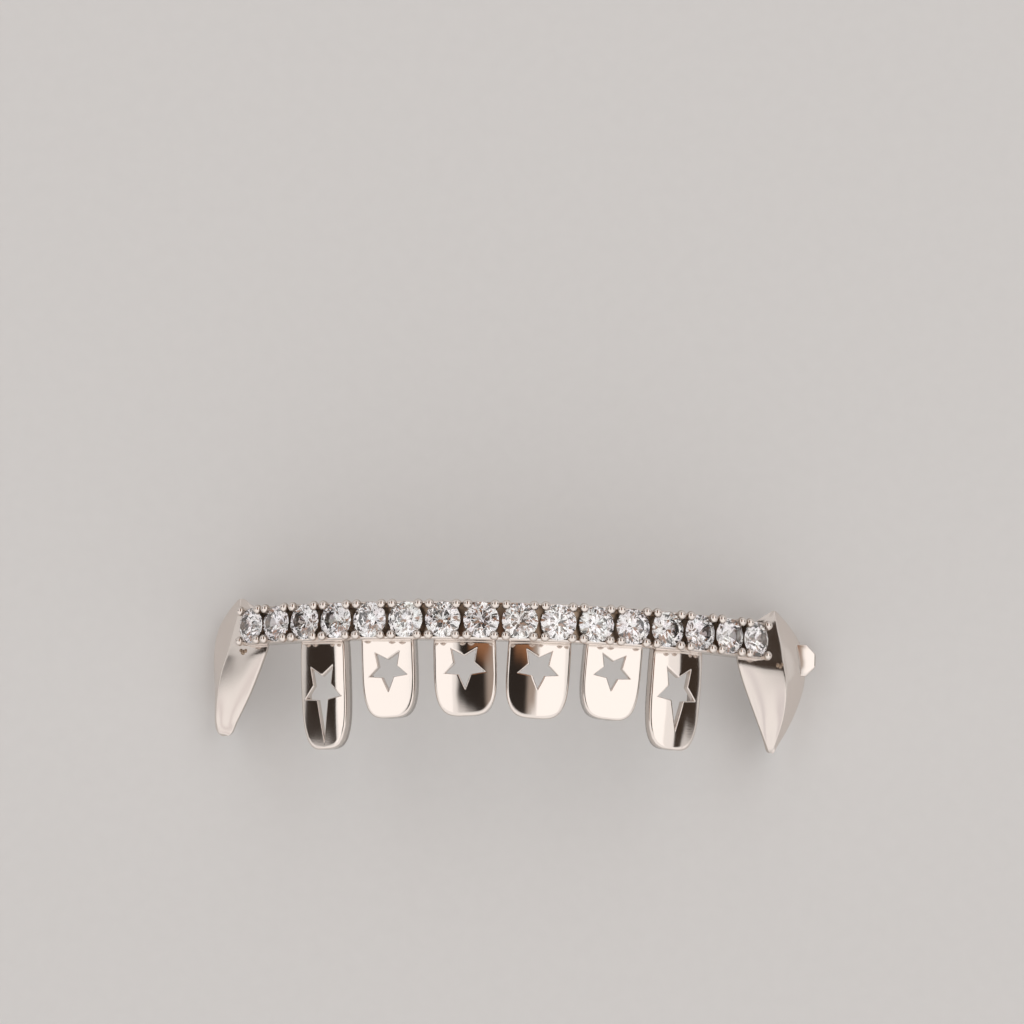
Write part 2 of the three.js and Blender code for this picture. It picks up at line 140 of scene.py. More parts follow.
def hand_polish_group():
    group = bpy.data.node_groups.new("hand_polish", "ShaderNodeTree")
    for name, default in POLISH_INPUTS.items():
        socket = group.interface.new_socket(name, in_out="INPUT", socket_type="NodeSocketFloat")
        socket.default_value = default
    group.interface.new_socket("Roughness", in_out="OUTPUT", socket_type="NodeSocketFloat")
    group.interface.new_socket("Normal", in_out="OUTPUT", socket_type="NodeSocketVector")
    inside = add_node(group, "NodeGroupInput")
    outside = add_node(group, "NodeGroupOutput")
    place = add_node(group, "ShaderNodeTexCoord")
    stretch = add_node(group, "ShaderNodeMapping", in_Scale=HAIRLINE_STRETCH, in_Rotation=HAIRLINE_TURN)
    smear = add_node(group, "ShaderNodeTexNoise", in_Scale=SMEAR_SCALE, in_Detail=3)
    waves = add_node(group, "ShaderNodeTexNoise", in_Scale=WAVE_SCALE, in_Detail=1)
    lines = add_node(group, "ShaderNodeTexNoise", in_Scale=HAIRLINE_SCALE, in_Detail=4)
    wave_bump = add_node(group, "ShaderNodeBump", in_Distance=WAVE_DEPTH)
    line_bump = add_node(group, "ShaderNodeBump", in_Distance=HAIRLINE_DEPTH)
    change = add_node(group, "ShaderNodeMath", operation="MULTIPLY")
    total = add_node(group, "ShaderNodeMath", operation="ADD")
    link = group.links.new
    link(place.outputs["Object"], smear.inputs["Vector"])
    link(place.outputs["Object"], waves.inputs["Vector"])
    link(place.outputs["Object"], stretch.inputs["Vector"])
    link(stretch.outputs["Vector"], lines.inputs["Vector"])
    link(smear.outputs["Fac"], change.inputs[0])
    link(inside.outputs["Roughness Change"], change.inputs[1])
    link(change.outputs[0], total.inputs[0])
    link(inside.outputs["Roughness"], total.inputs[1])
    link(total.outputs[0], outside.inputs["Roughness"])
    link(waves.outputs["Fac"], wave_bump.inputs["Height"])
    link(inside.outputs["Waves"], wave_bump.inputs["Strength"])
    link(lines.outputs["Fac"], line_bump.inputs["Height"])
    link(inside.outputs["Hairlines"], line_bump.inputs["Strength"])
    link(wave_bump.outputs["Normal"], line_bump.inputs["Normal"])
    link(line_bump.outputs["Normal"], outside.inputs["Normal"])
    return group


hand_polish = hand_polish_group()
print("group sockets:", [item.name for item in hand_polish.interface.items_tree])

# %% [markdown]
# The metal is painted browner and matt in the recess of the bar, inside the caps and down their sides,
# on the inner faces of the fangs and in a dark line round each bead. This is painted shade, and painted
# dark reflection on the beads, with some tarnish in the hollows. Each mesh carries an attribute from 0
# on the face to 1 in such places, and the metal reads it.

# %% The metals
PLATING = (0.79, 0.725, 0.68)
# The darker colour and rougher finish are painted shade and painted dark reflection, with some tarnish.
SHADE_AND_TARNISH_COLOR = (0.32, 0.24, 0.18)
SHADE_AND_TARNISH_ROUGHNESS = 0.3


def metal(name, **amounts):
    material = bpy.data.materials.new(name)
    material.use_nodes = True
    tree = material.node_tree
    shader = tree.nodes["Principled BSDF"]
    shader.inputs["Metallic"].default_value = 1
    surface = add_node(tree, "ShaderNodeGroup", node_tree=hand_polish)
    for key, value in amounts.items():
        surface.inputs[key.replace("_", " ")].default_value = value
    # Where the attribute is set the metal is darker and matt: painted shade and painted dark reflection,
    # with some tarnish.
    shade_and_tarnish = add_node(tree, "ShaderNodeAttribute", attribute_name="shade_and_tarnish")
    color = add_node(tree, "ShaderNodeMix", data_type="RGBA", in_6=(*PLATING, 1), in_7=(*SHADE_AND_TARNISH_COLOR, 1))
    roughness = add_node(tree, "ShaderNodeMix", in_3=SHADE_AND_TARNISH_ROUGHNESS)
    link = tree.links.new
    link(shade_and_tarnish.outputs["Fac"], color.inputs["Factor"])
    link(shade_and_tarnish.outputs["Fac"], roughness.inputs["Factor"])
    link(surface.outputs["Roughness"], roughness.inputs[2])
    link(color.outputs[2], shader.inputs["Base Color"])
    link(roughness.outputs[0], shader.inputs["Roughness"])
    link(surface.outputs["Normal"], shader.inputs["Normal"])
    return material


cap_metal = metal("cap_metal", Roughness=0.05, Roughness_Change=0.05, Waves=0.35, Hairlines=0.1)
fang_metal = metal("fang_metal", Roughness=0.08, Roughness_Change=0.08, Waves=0.12, Hairlines=0.15)
bead_metal = metal("bead_metal", Roughness=0.03, Roughness_Change=0.05, Waves=0.1, Hairlines=0.05)
bar_metal = metal("bar_metal", Roughness=0.06, Roughness_Change=0.1, Waves=0.3, Hairlines=0.1)
print("metals:", [made.name for made in (cap_metal, fang_metal, bead_metal, bar_metal)])


def mark_shading_and_tarnish(bm, share_of):
    """Writes the attribute from a function of each corner, before the mesh leaves its own millimetres."""
    layer = bm.verts.layers.float.new("shade_and_tarnish")
    for vert in bm.verts:
        vert[layer] = min(1, max(0, share_of(vert)))


# %% [markdown]
# ## Turning a shape into a piece
# Every piece ends the same way: faces outwards, smooth shading with sharp edges kept, the place baked
# into the mesh, a word to the frame on what it rides on, and the solid it stands for hidden. One function
# does this, so that no piece can miss a step.

# %% The last step of every piece


def as_object(bm, name):
    bmesh.ops.recalc_face_normals(bm, faces=bm.faces)
    mesh = bpy.data.meshes.new(name)
    bm.to_mesh(mesh)
    bm.free()
    piece = bpy.data.objects.new(name, mesh)
    bpy.context.scene.collection.objects.link(piece)
    return piece


def baked(piece):
    """The piece with its modifiers applied, as a new bmesh. The old object is removed."""
    bm = bmesh.new()
    bm.from_object(piece, bpy.context.evaluated_depsgraph_get())
    bpy.data.objects.remove(piece)
    return bm


def finish_piece(bm, name, material, node, sharp_from=40):
    """Makes the object, in the frame's metres. With sharp_from 0 every facet stays flat."""
    bm.transform(TO_FRAME)
    piece = as_object(bm, name)
    piece.data.materials.append(material)
    for face in piece.data.polygons:
        face.use_smooth = sharp_from > 0
    if sharp_from:
        piece.data.set_sharp_from_angle(angle=radians(sharp_from))
    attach(piece, "root")
    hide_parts(node)
    print(name, "has", len(piece.data.polygons), "faces")
    return piece


# %% [markdown]
# ## The bar
# The bar is a strip of metal bent to the arc, with a seat drilled for each stone. Its section is a
# rectangle with rounded corners, and spinning that round the arc's centre makes the whole strip in one
# step. A straight strip with a curve modifier would stretch its holes. A trough runs along the front, the
# seats in it are cones, and a light hole goes through behind each stone. Boolean modifiers cut them all,
# as the drill did.

# %% Spin a strip
RAIL_HEIGHT = 2.76
RAIL_THICKNESS = 1.25
RAIL_SETBACK = 0.25
RAIL_END_MARGIN = 0.1
RAIL_CORNER = 0.17
TROUGH_HEIGHT = 2.42
TROUGH_DEPTH = 0.35
TROUGH_END_MARGIN = 0.4
TROUGH_CORNER = 0.1
ARC_STEPS = 128
BACK_SHARE = 0.3


def arc_strip(height, front, back, margin, corner):
    """A strip on the arc, from a front to a back depth, that ends a margin before the arc does."""
    bm = bmesh.new()
    bmesh.ops.create_grid(bm, x_segments=1, y_segments=1, size=0.5)
    bmesh.ops.delete(bm, geom=bm.faces[:], context="FACES_ONLY")
    bmesh.ops.rotate(bm, verts=bm.verts, cent=(0, 0, 0), matrix=Matrix.Rotation(pi / 2, 3, "Y"))
    bmesh.ops.scale(bm, verts=bm.verts, vec=(1, height, back - front))
    bmesh.ops.translate(bm, verts=bm.verts, vec=(0, 0, -(front + back) / 2))
    bmesh.ops.bevel(
        bm, geom=bm.verts[:], offset=corner, affect="VERTICES", segments=4, profile=0.5, material=-1
    )
    centre = (0, 0, -ARCH_RADIUS)
    sweep = (BAR_LENGTH - 2 * margin) / ARCH_RADIUS
    bmesh.ops.rotate(bm, verts=bm.verts, cent=centre, matrix=Matrix.Rotation(-sweep / 2, 3, "Y"))
    section = bm.verts[:] + bm.edges[:]
    bmesh.ops.spin(bm, geom=section, cent=centre, axis=(0, 1, 0), angle=sweep, steps=ARC_STEPS)
    bmesh.ops.holes_fill(bm, edges=bm.edges)
    return bm


# %% Drill the seats and the light holes
SEAT_CLEARANCE = 0.03
SEAT_POINT_RADIUS = 0.02
LIGHT_HOLE_RADIUS = 0.55
MERGE_DISTANCE = 0.0005


def seat_drill(kind):
    bm = bmesh.new()
    for i in range(STONE_COUNT):
        place = arch_place((i + 0.5) * STONE_PITCH - BAR_LENGTH / 2)
        if kind == "seat":
            depth = PAVILION_DEPTH
            lift = Matrix.Translation((0, 0, -HALF_GIRDLE - depth / 2))
            size = {"radius1": SEAT_POINT_RADIUS, "radius2": STONE_RADIUS + SEAT_CLEARANCE}
        else:
            depth = 4 * RAIL_THICKNESS
            lift = Matrix.Translation((0, 0, -RAIL_SETBACK - depth / 2))
            size = {"radius1": LIGHT_HOLE_RADIUS, "radius2": LIGHT_HOLE_RADIUS}
        bmesh.ops.create_cone(bm, cap_ends=True, segments=40, depth=depth, matrix=place @ lift, **size)
    return as_object(bm, kind + "_drill")


RAIL_BACK = RAIL_SETBACK + RAIL_THICKNESS
TROUGH_BACK = RAIL_SETBACK + TROUGH_DEPTH
strip_shape = arc_strip(RAIL_HEIGHT, RAIL_SETBACK, RAIL_BACK, RAIL_END_MARGIN, RAIL_CORNER)
trough_shape = arc_strip(TROUGH_HEIGHT, 0, TROUGH_BACK, TROUGH_END_MARGIN, TROUGH_CORNER)
strip = as_object(strip_shape, "strip")
trough = as_object(trough_shape, "trough")
drills = [trough, seat_drill("seat"), seat_drill("light")]
for drill in drills:
    cut = strip.modifiers.new(drill.name, "BOOLEAN")
    cut.object = drill
    cut.operation = "DIFFERENCE"
    cut.solver = "EXACT"


# Painted shade with some tarnish: the metal darkens with depth into the trough and the seats, where the
# stones cover it, and a little at the back.
BRIGHT_RIM_DEPTH = 0.05
FADE_DEPTH = 0.15
HAIR = 0.01


def bar_shade_and_tarnish(vert):
    """From bright rims to darker in the trough and the seats, as painted shade with some tarnish, and a
    little darker at the back.
    """
    from_axis = Vector((vert.co.x, vert.co.z + ARCH_RADIUS))
    depth = ARCH_RADIUS - from_axis.length - RAIL_SETBACK
    if abs(vert.co.y) > TROUGH_HEIGHT / 2 + HAIR:
        return depth / RAIL_THICKNESS * BACK_SHARE
    return BACK_SHARE if depth > RAIL_THICKNESS - HAIR else (depth - BRIGHT_RIM_DEPTH) / FADE_DEPTH


drilled = baked(strip)
bmesh.ops.remove_doubles(drilled, verts=drilled.verts, dist=MERGE_DISTANCE)
mark_shading_and_tarnish(drilled, bar_shade_and_tarnish)
finish_piece(drilled, "bar", bar_metal, "metal_frame", sharp_from=30)
for drill in drills:
    bpy.data.objects.remove(drill)

# %% [markdown]
# ## Bead prongs
# The setter rounded the ends of the bar's prongs into beads that hold the stones: two between each pair
# of stones, above and below, and one in each corner at the ends. Each is a short post under a ball,
# joined by overlapping, which no one sees at this size. A ball needs few faces, because it is less than a
# millimetre across.

# %% A bead on its post, at every corner
BEAD_RADIUS = 0.355
BEAD_LIFT = 0.2
BEAD_ROW = 2.225 / 2
BEAD_PAIR = 0.82 / 2
END_BEAD_MARGIN = 0.36
POST_RADIUS = 0.24
POST_LENGTH = 1.0
# The posts and the lowest part of each ball are painted darker, as painted shade.
POST_SHADE_SHARE = 0.35
# The dark line round a ball is a painted dark reflection: how dark it gets, and its start, fade and end as
# shares of the ball's radius.
DARK_REFLECTION_SHARE = 0.8
DARK_REFLECTION_TOP = 0.5
DARK_REFLECTION_FADE = 0.4
DARK_REFLECTION_END = -0.1


def bead_stations():
    end = BAR_LENGTH / 2
    stations = [-end + END_BEAD_MARGIN, end - END_BEAD_MARGIN]
    for i in range(1, STONE_COUNT):
        border = i * STONE_PITCH - end
        stations += [border - BEAD_PAIR, border + BEAD_PAIR]
    return stations


def bead_prongs():
    """All prongs. Each ball is bright on top, with a painted dark reflection as a line low round its sides,
    and painted shade on its post and underside.
    """
    bm = bmesh.new()
    layer = bm.verts.layers.float.new("shade_and_tarnish")
    for station in bead_stations():
        for row in (-BEAD_ROW, BEAD_ROW):
            place = arch_place(station) @ Matrix.Translation((0, row, BEAD_LIFT))
            outwards = place.col[2].xyz
            ball = bmesh.ops.create_uvsphere(
                bm, u_segments=16, v_segments=14, radius=BEAD_RADIUS, matrix=place
            )
            for vert in ball["verts"]:
                height = (vert.co - place.translation).dot(outwards) / BEAD_RADIUS
                line = min(DARK_REFLECTION_SHARE, max(0, (DARK_REFLECTION_TOP - height) / DARK_REFLECTION_FADE))
                vert[layer] = line if height > DARK_REFLECTION_END else POST_SHADE_SHARE
            low = place @ Matrix.Translation((0, 0, -POST_LENGTH / 2))
            post = bmesh.ops.create_cone(
                bm,
                cap_ends=True,
                segments=12,
                radius1=POST_RADIUS,
                radius2=POST_RADIUS,
                depth=POST_LENGTH,
                matrix=low,
            )
            for vert in post["verts"]:
                vert[layer] = POST_SHADE_SHARE
    return bm


finish_piece(bead_prongs(), "bead_prongs", bead_metal, "metal_frame", sharp_from=60)

# %% [markdown]
# ## The tooth caps
# A cap is a thin shell: a gently domed face, an edge that rolls back, a short skirt and a hollow behind
# it. The star is cut through the face and its rim is slightly rounded by polishing. A Boolean star in a
# mirror surface leaves ragged shading, so the mesh grows out of the star instead: one ring of edges has
# the star's outline, and it is extruded again and again, over the face, round the edge, down the skirt
# and back inside to where it started.

# %% The outline and the dome of a cap
CAP_WIDTH = 4.6
CAP_LENGTH = 9.2
CAP_WALL = 0.45
CAP_DEPTH = 1.35
CAP_EDGE_RADIUS = 0.17
CAP_DRAFT = 0.06
CAP_SINK = 0.3
CAP_TOP = 1.12
CAP_CORNER_POWER = 3.5
HALVINGS = 40

# Shares: of half the bar for the station, of CAP_LENGTH for bottom and drop, and of CAP_WIDTH for width,
# star, bulge and crown. Places and outlines are the frame's. Four of the domes are a little flatter, so
# that they mirror what the real ones do. The ridge is where the face stands highest, as a share of half
# the width, and a fold under 2 makes it a soft crease, as a canine has.
CAPS = {
    "left_canine_cap": dict(
        station=-0.665, turn=0.65, lean=4, width=0.835,
        bottom=1, bulge=0.109, crown=0.036, ridge=0.6, fold=1.7,
        star=0.33, drop=0.522, stretch=1.28, tail=1.9),
    "left_lateral_cap": dict(
        station=-0.402, turn=0.75, lean=4, width=0.874,
        bottom=0.761, bulge=0.012, crown=0.012, ridge=0, fold=2,
        star=0.32, drop=0.377, stretch=1, tail=1.05),
    "left_central_cap": dict(
        station=-0.128, turn=0.75, lean=3, width=0.996,
        bottom=0.739, bulge=0.087, crown=0.054, ridge=0.2, fold=2,
        star=0.326, drop=0.348, stretch=1, tail=1.05),
    "right_central_cap": dict(
        station=0.138, turn=0.75, lean=2, width=1,
        bottom=0.743, bulge=0.087, crown=0.054, ridge=-0.1, fold=2,
        star=0.32, drop=0.345, stretch=1, tail=1),
    "right_lateral_cap": dict(
        station=0.402, turn=0.75, lean=4, width=0.93,
        bottom=0.728, bulge=0.012, crown=0.012, ridge=0, fold=2,
        star=0.304, drop=0.341, stretch=1, tail=1),
    "right_canine_cap": dict(
        station=0.654, turn=0.95, lean=3, width=0.891,
        bottom=0.929, bulge=0.109, crown=0.036, ridge=0.3, fold=1.7,
        star=0.333, drop=0.457, stretch=1.25, tail=1.46),
}


class CapShape:
    """The form of one cap around the middle of its face, in millimetres."""

    def __init__(self, row):
        self.row = row
        self.half_width = row["width"] * CAP_WIDTH / 2
        self.half_height = (CAP_TOP + row["bottom"] * CAP_LENGTH) / 2
        self.middle = (CAP_TOP - row["bottom"] * CAP_LENGTH) / 2
        self.star_middle = Vector((0, -row["drop"] * CAP_LENGTH - self.middle))

    def dome(self, x, y):
        ridge = self.row["ridge"]
        across = abs((x / self.half_width - ridge) / (1 + abs(ridge))) ** self.row["fold"]
        along = (y / self.half_height) ** 2
        return -CAP_WIDTH * (self.row["bulge"] * across + self.row["crown"] * along)

    def edge_point(self, direction, inset):
        """Where a ray from the star's middle meets the outline, drawn in by an inset."""
        near, far = 0.0, 3 * self.half_height
        for _ in range(HALVINGS):
            reach = (near + far) / 2
            point = self.star_middle + direction * reach
            x = abs(point.x) / (self.half_width - inset)
            y = abs(point.y) / (self.half_height - inset)
            if x**CAP_CORNER_POWER + y**CAP_CORNER_POWER < 1:
                near = reach
            else:
                far = reach
        return self.star_middle + direction * far


left_central = CapShape(CAPS["left_central_cap"])
cap_size = (2 * left_central.half_width, 2 * left_central.half_height)
print("left central cap in mm:", [round(x, 2) for x in cap_size])

# %% Grow a cap out of its star
STAR_INNER = 0.48
STAR_RIM = 0.09
INSIDE_DRAFT = 0.02
STAR_CUTS = 11
SKIRT_START = 0.4
LIP_ROUND = 0.08
INSIDE_ROUND = 0.12
FACE_STEPS = (0.05, 0.14, 0.26, 0.4, 0.55, 0.7, 0.84, 0.94, 1)


def star_ring(bm, shape):
    """A closed ring of edges in the star's outline, with its corners kept sharp."""
    row = shape.row
    made = bmesh.ops.create_circle(bm, segments=10, radius=row["star"] * CAP_WIDTH)
    for i, vert in enumerate(made["verts"]):
        share = STAR_INNER if i % 2 else 1
        angle = -pi / 2 + i * pi / 5
        tail = row["tail"] if i == 0 else 1
        reach = row["star"] * CAP_WIDTH * share
        vert.co = Vector((reach * cos(angle), reach * sin(angle) * row["stretch"] * tail, 0))
    bmesh.ops.subdivide_edges(bm, edges=bm.edges[:], cuts=STAR_CUTS)
    bmesh.ops.translate(bm, verts=bm.verts, vec=(*shape.star_middle, 0))


def grown_cap(shape):
    bm = bmesh.new()
    star_ring(bm, shape)
    ring = bm.edges[:]
    start = ring
    outline = {}
    for vert in bm.verts:
        flat = vert.co.xy - shape.star_middle
        outline[vert] = flat

    def lay(verts, point_of):
        for vert in verts:
            x, y, z = point_of(outline[vert])
            vert.co = (x, y, z)

    def grow(ring, point_of):
        made = bmesh.ops.extrude_edge_only(bm, edges=ring)["geom"]
        new_verts = [item for item in made if isinstance(item, bmesh.types.BMVert)]
        new_edges = [item for item in made if isinstance(item, bmesh.types.BMEdge)]
        old = {}
        for vert in new_verts:
            for edge in vert.link_edges:
                other = edge.other_vert(vert)
                if other in outline and other not in new_verts:
                    old[vert] = other
        for vert in new_verts:
            outline[vert] = outline[old[vert]]
        lay(new_verts, point_of)
        return [edge for edge in new_edges if edge.verts[0] in old and edge.verts[1] in old]

    def at_star(spread, below):
        def point_of(flat):
            point = shape.star_middle + flat * (1 + spread / (shape.row["star"] * CAP_WIDTH * STAR_INNER))
            return (*point, shape.dome(*point) - below)
        return point_of

    def at_face(share, spread, inset, below):
        def point_of(flat):
            near = shape.star_middle + flat * (1 + spread / (shape.row["star"] * CAP_WIDTH * STAR_INNER))
            far = shape.edge_point(flat.normalized(), inset)
            point = near.lerp(far, share)
            return (*point, shape.dome(*point) - below)
        return point_of

    def at_edge(inset, below=None, depth=None):
        def point_of(flat):
            point = shape.edge_point(flat.normalized(), inset)
            return (*point, shape.dome(*point) - below if depth is None else -depth)
        return point_of

    edge = CAP_EDGE_RADIUS
    lay(bm.verts, at_star(0, CAP_WALL))
    for step in range(5):
        angle = step * pi / 8
        ring = grow(ring, at_star(STAR_RIM * (1 - cos(angle)), STAR_RIM * (1 - sin(angle))))
    for share in FACE_STEPS:
        ring = grow(ring, at_face(share, STAR_RIM, edge, 0))
    for step in range(1, 7):
        angle = step * pi / 12
        ring = grow(ring, at_edge(edge * (1 - sin(angle)), below=edge * (1 - cos(angle))))
    ring = grow(ring, at_edge(CAP_DRAFT / 3, below=SKIRT_START))
    ring = grow(ring, at_edge(CAP_DRAFT, depth=CAP_DEPTH - LIP_ROUND))
    ring = grow(ring, at_edge(CAP_DRAFT + LIP_ROUND, depth=CAP_DEPTH))
    ring = grow(ring, at_edge(CAP_DRAFT + CAP_WALL - LIP_ROUND, depth=CAP_DEPTH))
    ring = grow(ring, at_edge(CAP_DRAFT + CAP_WALL, depth=CAP_DEPTH - LIP_ROUND))
    ring = grow(ring, at_edge(CAP_WALL + INSIDE_DRAFT, below=CAP_WALL + INSIDE_ROUND))
    ring = grow(ring, at_edge(CAP_WALL + INSIDE_ROUND, below=CAP_WALL))
    for share in (0.8, 0.5, 0.2):
        ring = grow(ring, at_face(share, 0, CAP_WALL + INSIDE_ROUND, CAP_WALL))
    bmesh.ops.bridge_loops(bm, edges=ring + start)
    # Painted shade with some tarnish: the metal darkens with depth below the face, down the skirt and
    # inside.
    mark_shading_and_tarnish(bm, lambda vert: min(BACK_SHARE, shape.dome(*vert.co.xy) - vert.co.z - edge))
    return bm


# %% Put each cap behind the bar
for name, row in CAPS.items():
    shape = CapShape(row)
    bm = grown_cap(shape)
    station = row["station"] * BAR_LENGTH / 2
    turn = station / ARCH_RADIUS
    on_arch = arch_place(station) @ Matrix.Translation((0, 0, CAP_SINK - RAIL_BACK))
    side = 1 if station > 0 else -1
    lean = Matrix.Rotation(radians(row["lean"]) * -side, 4, "Z")
    place = Matrix.Translation(on_arch.translation) @ Matrix.Rotation(turn * row["turn"], 4, "Y") @ lean
    bm.transform(place @ Matrix.Translation((0, shape.middle, 0)))
    finish_piece(bm, name, cap_metal, "metal_frame", sharp_from=50)

# %% [markdown]
# ## The fangs
# A fang is an open shell that wraps the outer side of a tooth and comes to a point below. Its sections
# run from a front edge over a soft ridge to the back edge. A grid of faces is laid over those sections,
# Solidify gives it the wall, and a subdivision surface makes it flow. Sculpting would look as soft, but
# its sizes could not be changed afterwards. The back edges are then cut flat where the piece lies on the
# floor.

# %% Sections of the two fangs
FANG_WALL = 0.4
FANG_HEIGHT = 10.4
FANG_TIP = 7.9
FANG_REACH = 5.2
FANG_DEPTH = 6.2
FANG_INSET = 2.43
FANG_SINK = 0.08
END_TURN = BAR_LENGTH / 2 / ARCH_RADIUS
FANG_START = ARCH_RADIUS * sin(END_TURN) - FANG_INSET
FANG_FRONT = ARCH_RADIUS - ((ARCH_RADIUS - RAIL_BACK) ** 2 - FANG_START**2) ** 0.5 - FANG_SINK

# Columns: height up from the tip, then how far out the front edge, ridge and side reach, then how deep
# the front edge, ridge and back lie. All are shares of the fang's height, reach and depth.
LEFT_FANG = [
    (0.002, 0.62, 0.68, 0.71, 0.52, 0.57, 0.6),
    (0.02, 0.57, 0.735, 0.775, 0.49, 0.56, 0.61),
    (0.052, 0.535, 0.77, 0.81, 0.45, 0.56, 0.64),
    (0.095, 0.5, 0.8, 0.835, 0.4, 0.55, 0.71),
    (0.16, 0.43, 0.81, 0.84, 0.34, 0.53, 0.82),
    (0.3, 0.29, 0.8, 0.86, 0.21, 0.49, 1),
    (0.45, 0.17, 0.76, 0.88, 0.1, 0.44, 1),
    (0.6, 0.06, 0.66, 0.9, 0, 0.36, 1),
    (0.77, 0, 0.58, 0.86, 0, 0.38, 1),
    (0.86, 0.17, 0.54, 0.76, 0.08, 0.36, 0.95),
    (0.94, 0.36, 0.51, 0.63, 0.22, 0.35, 0.72),
    (0.98, 0.45, 0.5, 0.53, 0.32, 0.36, 0.45),
]
RIGHT_FANG = [
    (-0.014, 0.545, 0.57, 0.592, 0.5, 0.52, 0.55),
    (0.003, 0.52, 0.585, 0.618, 0.475, 0.52, 0.56),
    (0.04, 0.49, 0.605, 0.645, 0.44, 0.51, 0.6),
    (0.12, 0.42, 0.66, 0.75, 0.36, 0.5, 0.74),
    (0.27, 0.29, 0.75, 0.9, 0.22, 0.47, 1),
    (0.45, 0.14, 0.76, 1.02, 0.1, 0.43, 1),
    (0.6, 0.04, 0.71, 1.05, 0, 0.38, 1),
    (0.78, 0, 0.65, 0.97, 0, 0.38, 1),
    (0.86, 0.17, 0.61, 0.87, 0.08, 0.36, 1),
    (0.94, 0.38, 0.58, 0.73, 0.22, 0.35, 0.75),
    (1.0, 0.54, 0.56, 0.58, 0.36, 0.38, 0.45),
]

# %% Lay a sheet over the sections
ACROSS = 18
RIDGE_COLUMN = ACROSS // 3
STRAIGHTNESS = 0.6
FOLD_CREASE = 0.5
BREAK_AT = 0.6
RIPPLE = 0.03
BEND_SHARE = 0.45
TUCK = 0.03
CUT_SPARE = 0.08


def curve_point(points, share, straightness):
    """A point on the way through a few points: a smooth curve at straightness 0, straight lines at 1."""
    spans = len(points) - 1
    i = min(int(share * spans), spans - 1)
    t = share * spans - i
    p1, p2 = points[i], points[i + 1]
    p0 = points[i - 1] if i else p1 * 2 - p2
    p3 = points[i + 2] if i + 2 <= spans else p2 * 2 - p1
    a, b, c = p2 - p0, p0 * 2 - p1 * 5 + p2 * 4 - p3, p1 * 3 - p0 - p2 * 3 + p3
    curved = p1 + (a * t + b * t**2 + c * t**3) / 2
    return curved.lerp(p1.lerp(p2, t), straightness)


def fang_sheet(sections, side):
    """The outer face of a fang: a grid with a row for each section, and a firm edge along the ridge."""
    bm = bmesh.new()
    bmesh.ops.create_grid(bm, x_segments=ACROSS, y_segments=len(sections) - 1, size=1)
    crease = bm.edges.layers.float.new("crease_edge")
    columns = {vert: round((vert.co.x + 1) / 2 * ACROSS) for vert in bm.verts}
    rows = {vert: round((vert.co.y + 1) / 2 * (len(sections) - 1)) for vert in bm.verts}
    for edge in bm.edges:
        on_ridge = all(columns[vert] == RIDGE_COLUMN and rows[vert] > 1 for vert in edge.verts)
        on_front = all(columns[vert] <= RIDGE_COLUMN for vert in edge.verts)
        at_break = on_front and all(sections[rows[vert]][0] == BREAK_AT for vert in edge.verts)
        if on_ridge or at_break:
            edge[crease] = FOLD_CREASE
    for vert in bm.verts:
        share = columns[vert] / ACROSS
        height, front, ridge, flank, front_depth, ridge_depth, back_depth = sections[rows[vert]]
        bend_depth = ridge_depth + (back_depth - ridge_depth) * BEND_SHARE
        end_depth = back_depth + (CUT_SPARE if back_depth == 1 else 0)
        reaches = (front, ridge, flank, flank - TUCK)
        depths = (front_depth, ridge_depth, bend_depth, end_depth)
        marks = [Vector((out, 0, depth)) for out, depth in zip(reaches, depths)]
        spot = curve_point(marks, share, STRAIGHTNESS)
        ripple = RIPPLE * sin(share * 3 * 2 * pi) if share < 1 / 3 and rows[vert] > 2 else 0
        out = side * (FANG_START + spot.x * FANG_REACH)
        vert.co = (out, height * FANG_HEIGHT - FANG_TIP, -FANG_FRONT - spot.z * FANG_DEPTH + ripple)
    bmesh.ops.recalc_face_normals(bm, faces=bm.faces)
    if sum(face.normal.z for face in bm.faces) < 0:
        bmesh.ops.reverse_faces(bm, faces=bm.faces)
    return bm


# %% Give the sheet its wall and cut it level at the back
FLOOR_LEVEL = -FANG_FRONT - FANG_DEPTH


def fang_shell(name, sections, side):
    bm = fang_sheet(sections, side)
    mesh = bpy.data.meshes.new(name)
    bm.to_mesh(mesh)
    bm.free()
    sheet = bpy.data.objects.new(name, mesh)
    bpy.context.scene.collection.objects.link(sheet)
    wall = sheet.modifiers.new("wall", "SOLIDIFY")
    wall.thickness = FANG_WALL
    wall.offset = -1
    wall.use_even_offset = True
    wall.edge_crease_outer = 0.75
    wall.edge_crease_rim = 0.3
    flow = sheet.modifiers.new("flow", "SUBSURF")
    flow.levels = flow.render_levels = 2
    solid = baked(sheet)
    everything = solid.verts[:] + solid.edges[:] + solid.faces[:]
    bmesh.ops.bisect_plane(
        solid, geom=everything, plane_co=(0, 0, FLOOR_LEVEL), plane_no=(0, 0, -1), clear_outer=True
    )
    bmesh.ops.holes_fill(solid, edges=[edge for edge in solid.edges if edge.is_boundary])
    solid.normal_update()
    outwards = Vector((side, 0, 1)).normalized()
    # Painted shade with some tarnish: faces that turn inwards and away from the front are darker.
    mark_shading_and_tarnish(solid, lambda vert: min(BACK_SHARE, -vert.normal.dot(outwards) * 2))
    return solid


fangs = {}
for name, sections, side in (("left_fang", LEFT_FANG, -1), ("right_fang", RIGHT_FANG, 1)):
    solid = fang_shell(name, sections, side)
    fangs[name] = finish_piece(solid, name, fang_metal, "metal_frame")

# %% [markdown]
# ## Solder spots
# Where the bar was soldered to a fang, a few drops stayed in the corner below its last stone. They are
# small and flattened, and brown where no wheel could reach. A ray from above finds the metal on which
# each drop lies, so the drops stay on it if the fang is changed.

